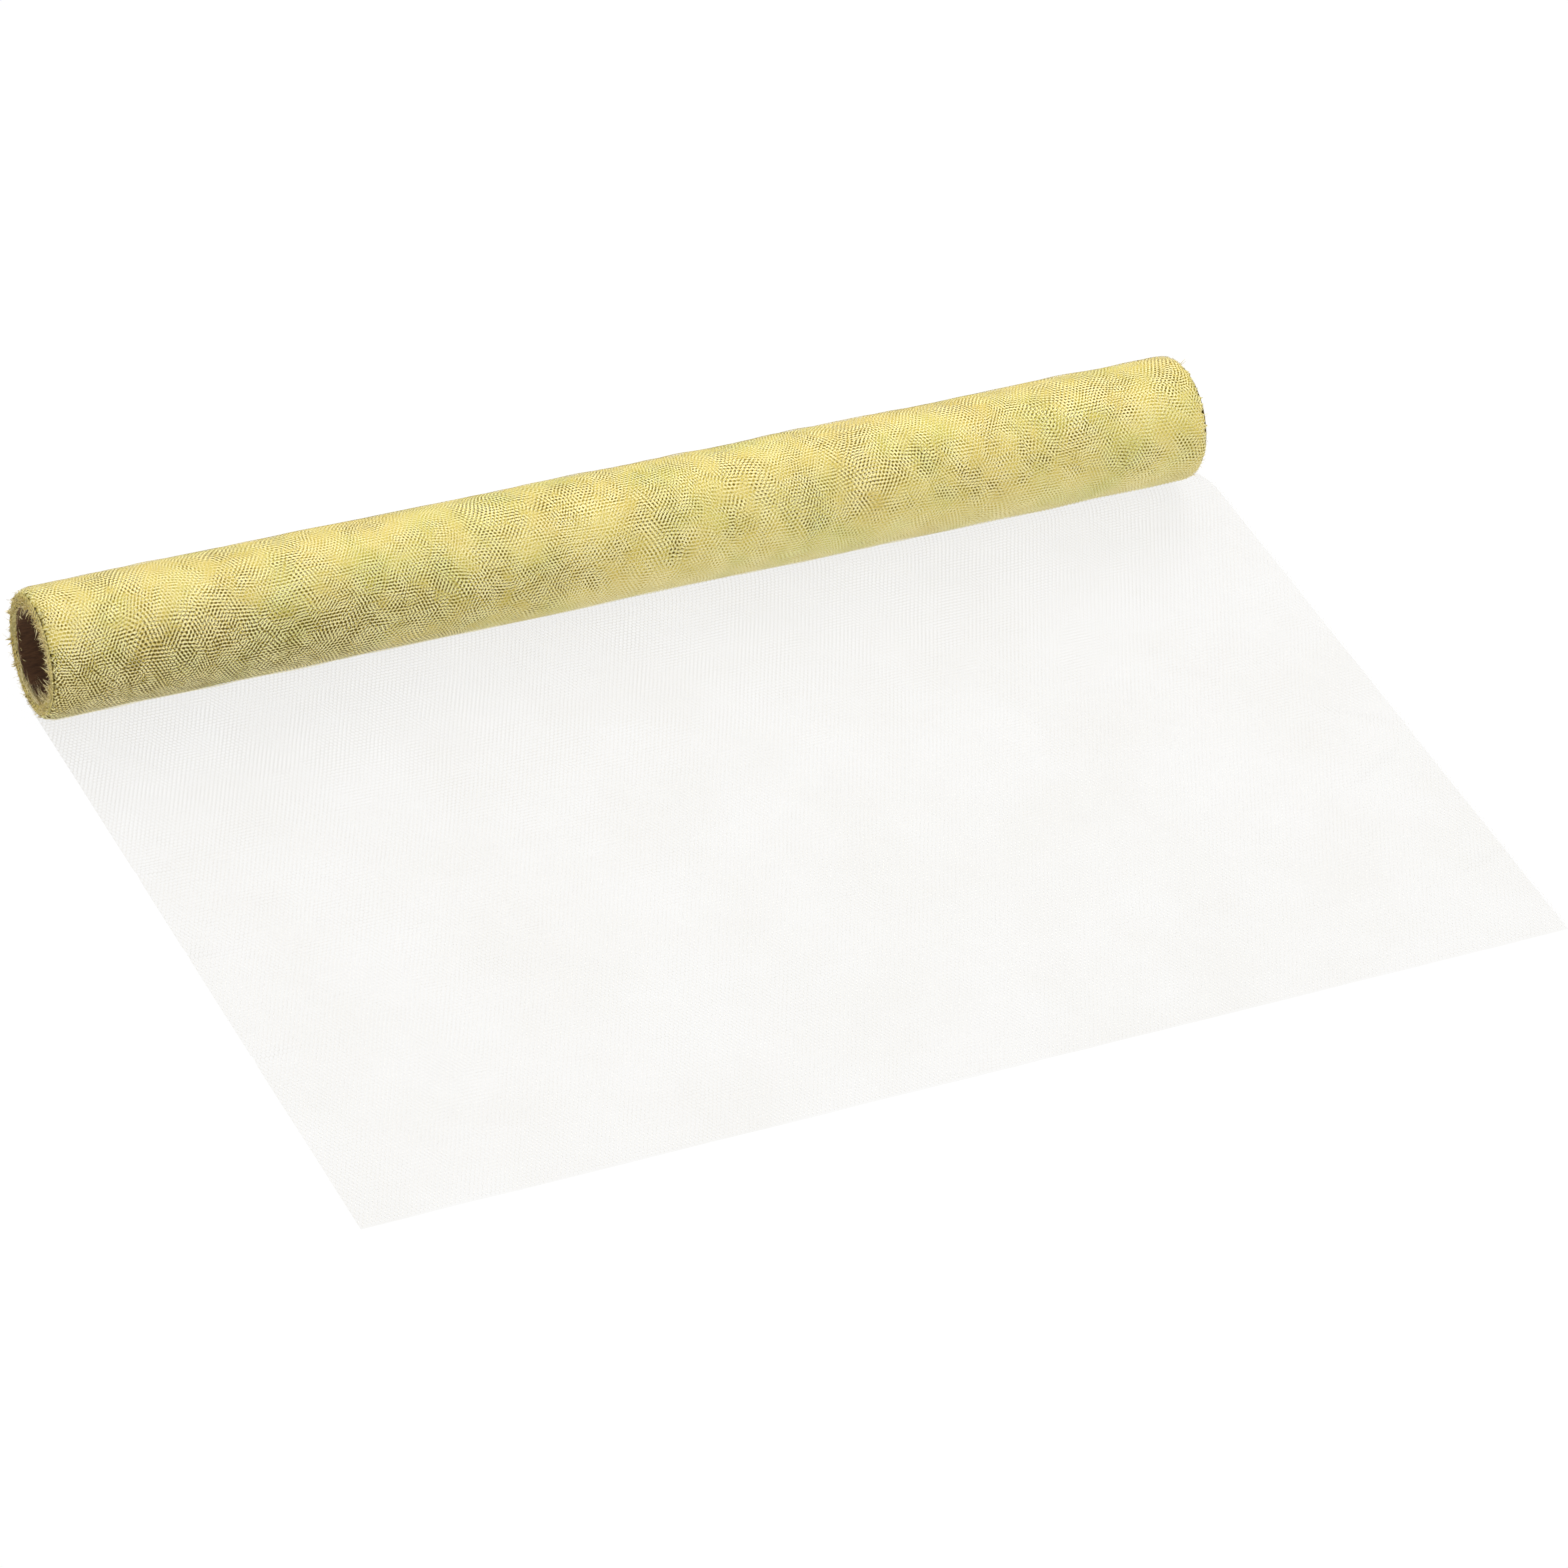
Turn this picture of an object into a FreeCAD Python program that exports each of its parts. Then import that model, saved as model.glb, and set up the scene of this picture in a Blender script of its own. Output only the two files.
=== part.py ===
"""A roll of fine metallic net for gift wrapping, with its first stretch laid out flat.

One long web of hexagonal net is wound on a spiral-wound paper core. The core lies along X
with its axis over y = 0. The web comes down behind the roll, passes under it and runs
forward, towards -Y, along the surface that the roll stands on. That surface is z = 0.

The web is one flexible piece. It is drawn as the four stretches that move differently: the
laid web stays put, the lead-off stretch travels with the roll without turning, and the
outer lap and the wound web turn with the core.

Units are millimetres.
"""
import FreeCAD
import Part

import math
import os

# Driving dimensions
ROLL_WIDTH = 500.0             # the web's width as it is wound, under tension
ROLL_DIAMETER = 52.5           # over the outer lap
BORE_RADIUS = 19.0             # a 38 mm bore, the usual one and a half inch core
PLY_THICKNESS = 0.44           # one strip of core board
CORE_RECESS = 1.0              # how far each core end lies inside the wound web
WEB_THICKNESS = 0.25           # one layer of net, crumpled as it lies
LAID_LENGTH = 278.7            # from under the roll's axis to the cut edge
LAID_WIDTH = 513.0             # the net spreads by 2.6% where nothing pulls on it
LAID_SHEAR = 28.2              # how far the cut edge stands to +X of the roll

# Sizes that follow from them
ROLL_RADIUS = ROLL_DIAMETER / 2
PLY_NAMES = ("core_liner_ply", "core_inner_ply", "core_outer_ply", "core_cover_ply")
CORE_RADIUS = BORE_RADIUS + PLY_THICKNESS * len(PLY_NAMES)
CORE_LENGTH = ROLL_WIDTH - 2 * CORE_RECESS

# The tapes that hold the web's first edge to the core
TAPE_THICKNESS = 0.1
TAPE_WIDTH = 30.0              # along the core
TAPE_REACH_DEG = 34.0          # round the core
TAPE_SPACING = 190.0
TAPE_COUNT = 3

# The wound web and its laps
WOUND_INNER_RADIUS = CORE_RADIUS + TAPE_THICKNESS
LAP_THICKNESS = 0.5            # the outer lap lies slack, so it stands thicker than the net
LAP_GAP_DEG = 8.0              # where the outer lap ends and the lead-off takes over
RUNNING_GAP = 0.3              # between the turning roll and the lead-off stretch
SLIDING_GAP = 0.2              # between the lead-off stretch and the laid web

# The lead-off stretch, as angles round the roll from its lowest line, positive to the back
LEAD_FRONT_DEG = -6.0
LEAD_BACK_DEG = 60.0
LEAD_INNER_RADIUS = ROLL_RADIUS + RUNNING_GAP
LEAD_OUTER_RADIUS = LEAD_INNER_RADIUS + WEB_THICKNESS

# The roll's axis stands over the laid web and the lead-off stretch
AXIS_HEIGHT = WEB_THICKNESS + SLIDING_GAP + LEAD_OUTER_RADIUS

# The laid web under the roll, and the flare of its right edge as the pull comes off it
CONTACT_BACK = 8.0             # the web lies flat this far behind the axis
FLARE_FORWARD = 20.0           # the flare is over this far in front of it
REAR_RIGHT_OVERHANG = 3.0      # past the roll's right end, under the axis


def at_angle(radius, degrees):
    """A point in the plane x = 0 at an angle round the roll, from its lowest line to the back."""
    turn = math.radians(degrees)
    return FreeCAD.Vector(0, radius * math.sin(turn), AXIS_HEIGHT - radius * math.cos(turn))


def band(inner, outer, start_deg, end_deg, length, centre_x=0.0):
    """A strip that bends round the roll's axis, between two radii and two angles."""
    middle = (start_deg + end_deg) / 2
    edges = [
        Part.Arc(*(at_angle(outer, a) for a in (start_deg, middle, end_deg))).toShape(),
        Part.LineSegment(at_angle(outer, end_deg), at_angle(inner, end_deg)).toShape(),
        Part.Arc(*(at_angle(inner, a) for a in (end_deg, middle, start_deg))).toShape(),
        Part.LineSegment(at_angle(inner, start_deg), at_angle(outer, start_deg)).toShape(),
    ]
    face = Part.Face(Part.Wire(edges))
    strip = face.extrude(FreeCAD.Vector(length, 0, 0))
    strip.translate(FreeCAD.Vector(centre_x - length / 2, 0, 0))
    return strip


def tube(inner, outer, length):
    """A straight tube round the roll's axis, centred on x = 0."""
    start = FreeCAD.Vector(-length / 2, 0, AXIS_HEIGHT)
    along = FreeCAD.Vector(1, 0, 0)
    return Part.makeCylinder(outer, length, start, along).cut(
        Part.makeCylinder(inner, length, start, along)
    )


def core_plies():
    """The core's four strips of board, each one glued round the last."""
    plies = {}
    for count, name in enumerate(PLY_NAMES):
        inner = BORE_RADIUS + count * PLY_THICKNESS
        plies[name] = tube(inner, inner + PLY_THICKNESS, CORE_LENGTH)
    return plies


def start_tapes():
    """Three short tapes on the core, under the web's first edge."""
    first = -TAPE_SPACING * (TAPE_COUNT - 1) / 2
    return Part.makeCompound(
        [
            band(
                CORE_RADIUS,
                WOUND_INNER_RADIUS,
                0,
                TAPE_REACH_DEG,
                TAPE_WIDTH,
                first + count * TAPE_SPACING,
            )
            for count in range(TAPE_COUNT)
        ]
    )


def wound_web():
    """The laps between the core and the outer lap, as one thick tube."""
    return tube(WOUND_INNER_RADIUS, ROLL_RADIUS - LAP_THICKNESS, ROLL_WIDTH)


def outer_lap():
    """The last turn of the web, open along the line where the next one leaves the roll."""
    return band(
        ROLL_RADIUS - LAP_THICKNESS,
        ROLL_RADIUS,
        LAP_GAP_DEG,
        360.0,
        ROLL_WIDTH,
    )


def lead_off_web():
    """The stretch of web that comes down the back of the roll and under it."""
    return band(LEAD_INNER_RADIUS, LEAD_OUTER_RADIUS, LEAD_FRONT_DEG, LEAD_BACK_DEG, ROLL_WIDTH)


def laid_web():
    """The web that lies flat: a sheared sheet, from under the roll forward to its cut edge."""
    rear_left = -ROLL_WIDTH / 2
    rear_right = ROLL_WIDTH / 2 + REAR_RIGHT_OVERHANG
    flare_right = rear_left + LAID_WIDTH + LAID_SHEAR * FLARE_FORWARD / LAID_LENGTH
    front_left = rear_left + LAID_SHEAR
    outline = [
        (rear_left, CONTACT_BACK),
        (rear_left, 0),
        (front_left, -LAID_LENGTH),
        (front_left + LAID_WIDTH, -LAID_LENGTH),
        (flare_right, -FLARE_FORWARD),
        (rear_right, 0),
        (rear_right, CONTACT_BACK),
    ]
    corners = [FreeCAD.Vector(x, y, 0) for x, y in outline]
    face = Part.Face(Part.makePolygon(corners + corners[:1]))
    return face.extrude(FreeCAD.Vector(0, 0, WEB_THICKNESS))


def main():
    """Builds each piece, writes its STEP file and prints its volume and box."""
    os.makedirs("parts", exist_ok=True)
    pieces = core_plies()
    pieces["start_tapes"] = start_tapes()
    pieces["wound_web"] = wound_web()
    pieces["outer_lap"] = outer_lap()
    pieces["lead_off_web"] = lead_off_web()
    pieces["laid_web"] = laid_web()
    for name, shape in pieces.items():
        if not shape.isValid() or shape.Volume <= 0:
            raise ValueError(f"{name} isn't a valid solid")
        shape.exportStep(f"parts/{name}.step")
        box = shape.BoundBox
        print(
            f"{name}: {shape.Volume / 1000:.2f} cm3,"
            f" {box.XLength:.1f} x {box.YLength:.1f} x {box.ZLength:.1f} mm"
        )
    print(f"axis height {AXIS_HEIGHT:.2f} mm, core radius {CORE_RADIUS:.2f} mm")


main()
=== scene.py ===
"""A roll of gold metallic net on a paper core, with its first stretch laid out flat.

The net is one long web. Its stretches are the laid web in front of the roll, the lead-off
that comes up the back of the roll, the outer lap, and the wound web under it. The first three
are each a smooth sheet that holds the tone of threads too fine to draw, with a net of real
flat threads on it. Cut ends of thread stand out at both ends of the roll.

Lengths are in metres. Angles round the roll are in radians from its lowest line, and grow
towards its back.
"""

import logging
import math
import random
from dataclasses import dataclass, field
from enum import Enum
from typing import Any, Callable, Sequence

import bmesh
import bpy
import numpy as np
from mathutils import Matrix, Vector


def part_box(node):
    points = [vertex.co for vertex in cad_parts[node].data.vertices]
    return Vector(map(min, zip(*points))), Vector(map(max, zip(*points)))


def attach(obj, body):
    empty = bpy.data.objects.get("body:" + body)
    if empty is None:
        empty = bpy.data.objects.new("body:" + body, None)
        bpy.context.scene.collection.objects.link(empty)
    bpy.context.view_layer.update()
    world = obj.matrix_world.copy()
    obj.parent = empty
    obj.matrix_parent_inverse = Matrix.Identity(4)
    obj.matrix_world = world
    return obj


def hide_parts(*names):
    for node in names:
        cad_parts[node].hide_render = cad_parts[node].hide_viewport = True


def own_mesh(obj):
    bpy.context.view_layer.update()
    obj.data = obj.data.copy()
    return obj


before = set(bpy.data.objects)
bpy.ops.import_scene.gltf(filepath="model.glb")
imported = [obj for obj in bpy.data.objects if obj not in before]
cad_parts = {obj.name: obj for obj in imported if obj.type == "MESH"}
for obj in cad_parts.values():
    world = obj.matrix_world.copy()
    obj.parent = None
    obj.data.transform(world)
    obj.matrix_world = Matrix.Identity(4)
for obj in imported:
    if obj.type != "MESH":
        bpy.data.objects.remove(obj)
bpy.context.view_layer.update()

log = logging.getLogger("net_roll")

Tree = bpy.types.NodeTree
Source = bpy.types.Node | bpy.types.NodeSocket  # a node stands for its first output
Piece = bpy.types.Object
Place = Callable[[np.ndarray], np.ndarray]  # turns flat places into places in space

MM = 0.001
NET_PITCH = 1.75 * MM  # from one cell's middle to the next one's, a little coarse so that it shows
WEB_MAP = "OFBake"  # the UV map of a piece of web: its flat shape, drawn from 0 to 1 both ways
MAP_MARGIN = 0.0005  # how far a flat shape stays in from the edges of its map


class Body(Enum):
    """The bodies that the pieces ride on."""

    LAID = "laid_stretch"
    TRAVELLING = "travelling_stretch"
    ROLL = "roll"


class Slot(Enum):
    """Two of the record's material slots, by name."""

    WOUND = "wound_net"
    SINGLE = "single_net"


# ---------------------------------------------------------------- finishes


def linear(hex_colour: str) -> tuple[float, float, float, float]:
    """Turns an sRGB hex colour into linear light.

    Args:
        hex_colour: six hex digits, such as "C8B46A".

    Returns:
        Linear red, green and blue, with an alpha of 1.
    """
    parts = [int(hex_colour[i : i + 2], 16) / 255 for i in (0, 2, 4)]
    red, green, blue = (p / 12.92 if p <= 0.04045 else ((p + 0.055) / 1.055) ** 2.4 for p in parts)
    return red, green, blue, 1.0


def add(
    tree: Tree,
    kind: str,
    inputs: dict[str | int, Any] | None = None,
    stops: Sequence[tuple[float, str]] = (),
    **settings: Any,
) -> bpy.types.Node:
    """Adds a node with its settings and its links.

    Args:
        tree: the node tree it goes in.
        kind: the node's type, without the word ShaderNode that it starts with.
        inputs: a value, or a source to link, for each input by name or number.
        stops: places and hex colours, if the node is a colour ramp.
        **settings: the node's own settings.

    Returns:
        The new node.
    """
    node = tree.nodes.new("ShaderNode" + kind)
    for name, value in settings.items():
        setattr(node, name, value)
    for key, value in (inputs or {}).items():
        if isinstance(value, Source):
            output = value.outputs[0] if isinstance(value, bpy.types.Node) else value
            tree.links.new(output, node.inputs[key])
        else:
            node.inputs[key].default_value = value
    for count, (place, colour) in enumerate(stops):
        elements = node.color_ramp.elements
        element = elements[count] if count < 2 else elements.new(place)
        element.position, element.color = place, linear(colour)
    return node


@dataclass(frozen=True)
class Finish:
    """What a surface is made of, and how it was made. Each kind draws its own shader."""

    name: str

    def shader(self, tree: Tree) -> Source:
        """Draws the finish in a node tree and gives its shader."""
        raise NotImplementedError

    def material(self) -> bpy.types.Material:
        """Makes the material, or finds it if another piece has it already.

        Returns:
            The material, with the finish's nodes in it.
        """
        if self.name in bpy.data.materials:
            return bpy.data.materials[self.name]
        material = bpy.data.materials.new(self.name)
        material.use_nodes = True
        tree = material.node_tree
        tree.nodes.clear()
        add(tree, "OutputMaterial", {"Surface": self.shader(tree)})
        return material


@dataclass(frozen=True)
class WebFinish(Finish):
    """A finish drawn on a piece of web, whose flat width and length it knows."""

    size: tuple[float, float]

    def places(self, tree: Tree) -> tuple[Source, Source]:
        """Reads the place on the web.

        Args:
            tree: the node tree it goes in.

        Returns:
            The place on the web's map, and the place in millimetres.
        """
        flat = add(tree, "UVMap", uv_map=WEB_MAP)
        width, length = self.size
        place = add(tree, "VectorMath", {0: flat, 1: (width / MM, length / MM, 0)}, operation="MULTIPLY")
        return flat, place


@dataclass(frozen=True)
class NetLayer:
    """One layer of hexagonal net: three sets of waves, 60 degrees apart.

    The layer's own slow drift bends it, so two layers cross at angles that change from place
    to place, and one of its three thread directions is often stronger than the others. Lengths
    are in millimetres, and scales are blotches to the millimetre.
    """

    pitch: float
    turn: float
    drift: float
    seed: float
    drift_scale: float = 0.022
    favour_scale: float = 0.11
    favour_seed: float = 40.0

    def draw(self, tree: Tree, place: Source) -> Source:
        """Draws the layer.

        Args:
            tree: the node tree it goes in.
            place: the place on the web, in millimetres.

        Returns:
            A value from about -1, on a thread, to 1, in the middle of a cell.
        """
        stray = add(
            tree, "TexNoise",
            {"Vector": place, "W": self.seed, "Scale": self.drift_scale, "Detail": 1.5},
            noise_dimensions="4D",
        )
        offset = add(
            tree, "VectorMath",
            {0: stray.outputs["Color"], 1: (self.drift, self.drift, 0), 2: place},
            operation="MULTIPLY_ADD",
        )
        favour = add(
            tree, "TexNoise",
            {"Vector": place, "W": self.seed + self.favour_seed, "Scale": self.favour_scale,
             "Detail": 1.0},
            noise_dimensions="4D",
        )
        weights = add(tree, "SeparateColor", {"Color": favour.outputs["Color"]})
        wave = math.tau / (self.pitch * math.cos(math.radians(30)))
        total = None
        for count in range(3):
            way = self.turn + math.radians(60 * count + 30)
            along = add(
                tree, "VectorMath",
                {0: offset, 1: (wave * math.cos(way), wave * math.sin(way), 0)},
                operation="DOT_PRODUCT",
            )
            crest = add(tree, "Math", {0: along.outputs["Value"]}, operation="COSINE")
            strength = add(
                tree, "MapRange",
                {"Value": weights.outputs[count], "From Min": 0.44, "From Max": 0.58,
                 "To Min": 0.05, "To Max": 1.15},
            )
            total = add(tree, "Math", {0: crest, 1: strength, 2: total or 0.0}, operation="MULTIPLY_ADD")
        return total


@dataclass(frozen=True)
class PaintedShade:
    """A stretch of the last lap with painted shade, or painted light if its strength is below zero.

    It grows down the roll from top to bottom, and along it from faint_at to full_at, all as
    shares of the lap's map.
    """

    top: float
    bottom: float
    faint_at: float
    full_at: float
    strength: float


@dataclass(frozen=True)
class LayeredNet(WebFinish):
    """Polyester net with a metallised film thread, many layers deep.

    The film gives a bright, slightly metallic thread. Crossed layers give the eye short
    stripes and rows of dots that change direction from patch to patch. Scales are blotches to
    the millimetre.
    """

    gap: str = "5F4F12"
    middle: str = "CEBE6A"
    thread: str = "F4F0CA"
    upper: NetLayer = NetLayer(pitch=1.6, turn=0.10, drift=15.0, seed=3.0)
    lower: NetLayer = NetLayer(pitch=1.6 * 0.94, turn=-0.16, drift=18.0, seed=11.0)
    lower_strength: float = 0.6
    least_depth: float = 0.16
    patch_scale: float = 0.045
    warmth_scale: float = 0.036
    # painted shade low on the front towards the left end, and painted light under it to the right
    painted_shades: tuple[PaintedShade, ...] = (
        PaintedShade(top=0.56, bottom=0.72, faint_at=0.55, full_at=0.10, strength=0.56),
        PaintedShade(top=0.68, bottom=0.80, faint_at=0.05, full_at=0.50, strength=-0.28),
    )

    def shader(self, tree: Tree) -> Source:
        """Draws the net's layers.

        Args:
            tree: the node tree they go in.

        Returns:
            The shader.
        """
        flat, place = self.places(tree)
        shade = self.shade(tree, flat, place)
        colour = self.colour(tree, place, shade)
        bump = add(tree, "Bump", {"Height": shade, "Strength": 0.35, "Distance": 0.15 * MM}, invert=True)
        return add(
            tree, "BsdfPrincipled",
            {"Base Color": colour, "Metallic": 0.08, "Roughness": 0.6,
             "Specular IOR Level": 0.25, "Sheen Weight": 0.25, "Sheen Roughness": 0.35,
             "Sheen Tint": linear("F5E9B4"), "Normal": bump},
        )

    def shade(self, tree: Tree, flat: Source, place: Source) -> Source:
        """Works out how dark each place is.

        Where the layers are loose the cells are faint and the web pale, and the other way round.
        Painted shade makes the web darker in one stretch of the lap, and painted light paler in another.

        Args:
            tree: the node tree it goes in.
            flat: the place on the web's map.
            place: the place on the web, in millimetres.

        Returns:
            A value from 0, on a bright thread, to 1, in a dark gap.
        """
        upper = self.upper.draw(tree, place)
        lower = self.lower.draw(tree, place)
        both = add(tree, "Math", {0: lower, 1: self.lower_strength, 2: upper}, operation="MULTIPLY_ADD")
        patches = add(
            tree, "TexNoise",
            {"Vector": place, "Scale": self.patch_scale, "Detail": 3.0, "Roughness": 0.6},
        )
        loose = add(
            tree, "MapRange",
            {"Value": patches, "From Min": 0.34, "From Max": 0.64,
             "To Min": 0.10, "To Max": 0.45},
        )
        # painted shade darkens, and painted light pales, the web in stretches of the lap
        painted_shade = self.painted_shade(tree, flat)
        either = add(tree, "Math", {0: loose, 1: painted_shade}, operation="ADD")
        depth = add(tree, "Math", {0: either, 1: self.least_depth}, operation="MAXIMUM", use_clamp=True)
        base = add(tree, "Math", {0: painted_shade, 1: 0.5, 2: 0.28}, operation="MULTIPLY_ADD")
        level = add(tree, "Math", {0: depth, 1: 0.42, 2: base}, operation="MULTIPLY_ADD")
        return add(tree, "Math", {0: both, 1: depth, 2: level}, operation="MULTIPLY_ADD")

    def colour(self, tree: Tree, place: Source, shade: Source) -> Source:
        """Colours the threads and the gaps.

        Crossed layers of film turn the light a little to green in places, and to rose in others.

        Args:
            tree: the node tree it goes in.
            place: the place on the web, in millimetres.
            shade: how dark each place is.

        Returns:
            The colour.
        """
        tone = add(
            tree, "ValToRGB", {0: shade}, stops=((0.0, self.thread), (1.0, self.gap), (0.45, self.middle))
        )
        wide = add(
            tree, "TexNoise",
            {"Vector": place, "Scale": self.warmth_scale, "Detail": 3.0, "W": 5.0},
            noise_dimensions="4D",
        )
        warmth = add(
            tree, "ValToRGB", {0: wide}, stops=((0.34, "ECF0C4"), (0.66, "F8EFCC"), (0.5, "F9F5D4"))
        )
        colour = add(tree, "Mix", {0: 0.9, 6: tone, 7: warmth}, data_type="RGBA", blend_type="MULTIPLY")
        return colour.outputs[2]

    def painted_shade(self, tree: Tree, flat: Source) -> Source:
        """Says where shade is painted on the last lap, and where light is painted.

        It is painted darker low on the front towards the left end, and paler under that to the right.
        Further round, under the roll, it is neither.

        Args:
            tree: the node tree it goes in.
            flat: the place on the web's map.

        Returns:
            More than zero where it is tight, and less where it is loose.
        """
        at = add(tree, "SeparateXYZ", {0: flat})
        total = None
        for shade_stretch in self.painted_shades:
            down = add(
                tree, "MapRange",
                {"Value": at.outputs[1], "From Min": shade_stretch.top, "From Max": shade_stretch.bottom},
                interpolation_type="SMOOTHSTEP",
            )
            along = add(
                tree, "MapRange",
                {"Value": at.outputs[0], "From Min": shade_stretch.faint_at, "From Max": shade_stretch.full_at,
                 "To Min": 0.0, "To Max": shade_stretch.strength},
                interpolation_type="SMOOTHSTEP",
            )
            total = add(tree, "Math", {0: down, 1: along, 2: total or 0.0}, operation="MULTIPLY_ADD")
        under = add(
            tree, "MapRange",
            {"Value": at.outputs[1], "From Min": 0.87, "From Max": 0.95,
             "To Min": 1.0, "To Max": 0.0},
            interpolation_type="SMOOTHSTEP",
        )
        return add(tree, "Math", {0: total, 1: under}, operation="MULTIPLY")


@dataclass(frozen=True)
class FilmThread(Finish):
    """Metallised film slit into flat thread, with its tone drifting along the web.

    The film's gloss is uneven in specks. Patches and specks are counted to the metre.
    """

    dark: str
    light: str
    metallic: float = 0.35
    roughness: float = 0.42
    patches: float = 60.0
    specks: float = 900.0

    def shader(self, tree: Tree) -> Source:
        """Draws the film.

        Args:
            tree: the node tree it goes in.

        Returns:
            The shader.
        """
        place = add(tree, "TexCoord").outputs["Object"]
        drift = add(
            tree, "TexNoise", {"Vector": place, "Scale": self.patches, "Detail": 4.0, "Roughness": 0.65}
        )
        colour = add(tree, "ValToRGB", {0: drift}, stops=((0.3, self.dark), (0.68, self.light)))
        grain = add(tree, "TexNoise", {"Vector": place, "Scale": self.specks, "Detail": 2.0})
        gloss = add(
            tree, "MapRange",
            {"Value": grain, "To Min": self.roughness - 0.1,
             "To Max": self.roughness + 0.12},
        )
        return add(
            tree, "BsdfPrincipled", {"Base Color": colour, "Metallic": self.metallic, "Roughness": gloss}
        )


@dataclass(frozen=True)
class SheerNet(WebFinish):
    """One layer of the same net, so open that the surface under it shows through.

    Its tone drifts in patches, of which scale is how many there are to the millimetre.
    """

    thread: str = "9F9780"
    pale: str = "B4B0A6"
    cover: float = 0.145
    cover_swing: float = 0.15
    scale: float = 0.02
    layer: NetLayer = NetLayer(pitch=NET_PITCH / MM, turn=0.0, drift=4.0, seed=21.0)

    def shader(self, tree: Tree) -> Source:
        """Draws the threads and the open cells between them.

        Args:
            tree: the node tree they go in.

        Returns:
            The shader.
        """
        _, place = self.places(tree)
        fine = self.layer.draw(tree, place)
        patches = add(
            tree, "TexNoise", {"Vector": place, "Scale": self.scale, "Detail": 4.0, "Roughness": 0.6}
        )
        colour = add(tree, "ValToRGB", {0: patches}, stops=((0.35, self.thread), (0.62, self.pale)))
        cover = add(
            tree, "MapRange",
            {"Value": fine, "From Min": 1.0, "From Max": -1.0,
             "To Min": self.cover * (1 - self.cover_swing),
             "To Max": self.cover * (1 + self.cover_swing)},
        )
        threads = add(tree, "BsdfPrincipled", {"Base Color": colour, "Metallic": 0.0, "Roughness": 0.6})
        open_cells = add(tree, "BsdfTransparent")
        return add(tree, "MixShader", {0: cover, 1: open_cells, 2: threads})


@dataclass(frozen=True)
class KraftBoard(Finish):
    """Brown kraft strip, spiral wound: flecks of fibre, and a seam that winds along the core.

    The fibres lie along the core. Their scale is how many there are to the metre each way.
    """

    axis_height: float
    dark: str
    light: str
    seam_pitch: float
    seam_width: float = 0.9 * MM
    seam_dark: str = "1E120B"
    fibre_scale: tuple[float, float, float] = (260.0, 1400.0, 1400.0)

    def shader(self, tree: Tree) -> Source:
        """Draws the board.

        Args:
            tree: the node tree it goes in.

        Returns:
            The shader.
        """
        place = add(tree, "TexCoord").outputs["Object"]
        at = add(tree, "SeparateXYZ", {0: place})
        up = add(tree, "Math", {0: at.outputs[2], 1: self.axis_height}, operation="SUBTRACT")
        turn = add(tree, "Math", {0: at.outputs[1], 1: up}, operation="ARCTAN2")
        winding = add(
            tree, "Math",
            {0: turn, 1: self.seam_pitch / math.tau, 2: at.outputs[0]},
            operation="MULTIPLY_ADD",
        )
        strip = add(tree, "Math", {0: winding, 1: self.seam_pitch}, operation="PINGPONG")
        seam = add(tree, "MapRange", {"Value": strip, "From Min": 0.0, "From Max": self.seam_width})
        drawn = add(tree, "Mapping", {"Vector": place, "Scale": self.fibre_scale})
        fibres = add(tree, "TexNoise", {"Vector": drawn, "Scale": 1.0, "Detail": 5.0, "Roughness": 0.7})
        fleck = add(tree, "ValToRGB", {0: fibres}, stops=((0.3, self.dark), (0.72, self.light)))
        colour = add(tree, "Mix", {0: seam, 6: linear(self.seam_dark), 7: fleck}, data_type="RGBA")
        bump = add(tree, "Bump", {"Height": seam, "Strength": 0.5, "Distance": 0.2 * MM})
        return add(
            tree, "BsdfPrincipled", {"Base Color": colour.outputs[2], "Roughness": 0.85, "Normal": bump}
        )


@dataclass(frozen=True)
class FrostedTape(Finish):
    """Frosted polypropylene tape: milky, with a fine matt grain, counted to the metre."""

    name: str = "frosted_tape"
    dark: str = "CFC6AA"
    light: str = "DED7C2"
    grains: float = 1500.0

    def shader(self, tree: Tree) -> Source:
        """Draws the tape.

        Args:
            tree: the node tree it goes in.

        Returns:
            The shader.
        """
        place = add(tree, "TexCoord").outputs["Object"]
        grain = add(tree, "TexNoise", {"Vector": place, "Scale": self.grains, "Detail": 3.0})
        colour = add(tree, "ValToRGB", {0: grain}, stops=((0.3, self.dark), (0.7, self.light)))
        return add(tree, "BsdfPrincipled", {"Base Color": colour, "Roughness": 0.55})


@dataclass(frozen=True)
class StudioFloor(Finish):
    """A matt white floor lit from underneath, so that it holds almost no shadow."""

    name: str = "lit_studio_floor"
    dark: str = "202020"
    light: str = "262626"
    glow: float = 0.99
    clouds: float = 3.0

    def shader(self, tree: Tree) -> Source:
        """Draws the floor, with a few faint clouds of tone to the metre.

        Args:
            tree: the node tree it goes in.

        Returns:
            The shader.
        """
        place = add(tree, "TexCoord").outputs["Object"]
        cloud = add(tree, "TexNoise", {"Vector": place, "Scale": self.clouds, "Detail": 2.0})
        colour = add(tree, "ValToRGB", {0: cloud}, stops=((0.3, self.dark), (0.7, self.light)))
        matt = add(tree, "BsdfDiffuse", {"Color": colour})
        lit = add(tree, "Emission", {"Strength": self.glow})
        return add(tree, "AddShader", {0: matt, 1: lit})


# ---------------------------------------------------------------- meshes


def dress(piece: Piece, finish: Finish) -> None:
    """Gives a piece one finish in place of those it has.

    Args:
        piece: the piece.
        finish: what it is made of.
    """
    material = finish.material()
    if piece.data.materials:
        for count in range(len(piece.data.materials)):
            piece.data.materials[count] = material
    else:
        piece.data.materials.append(material)


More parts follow.
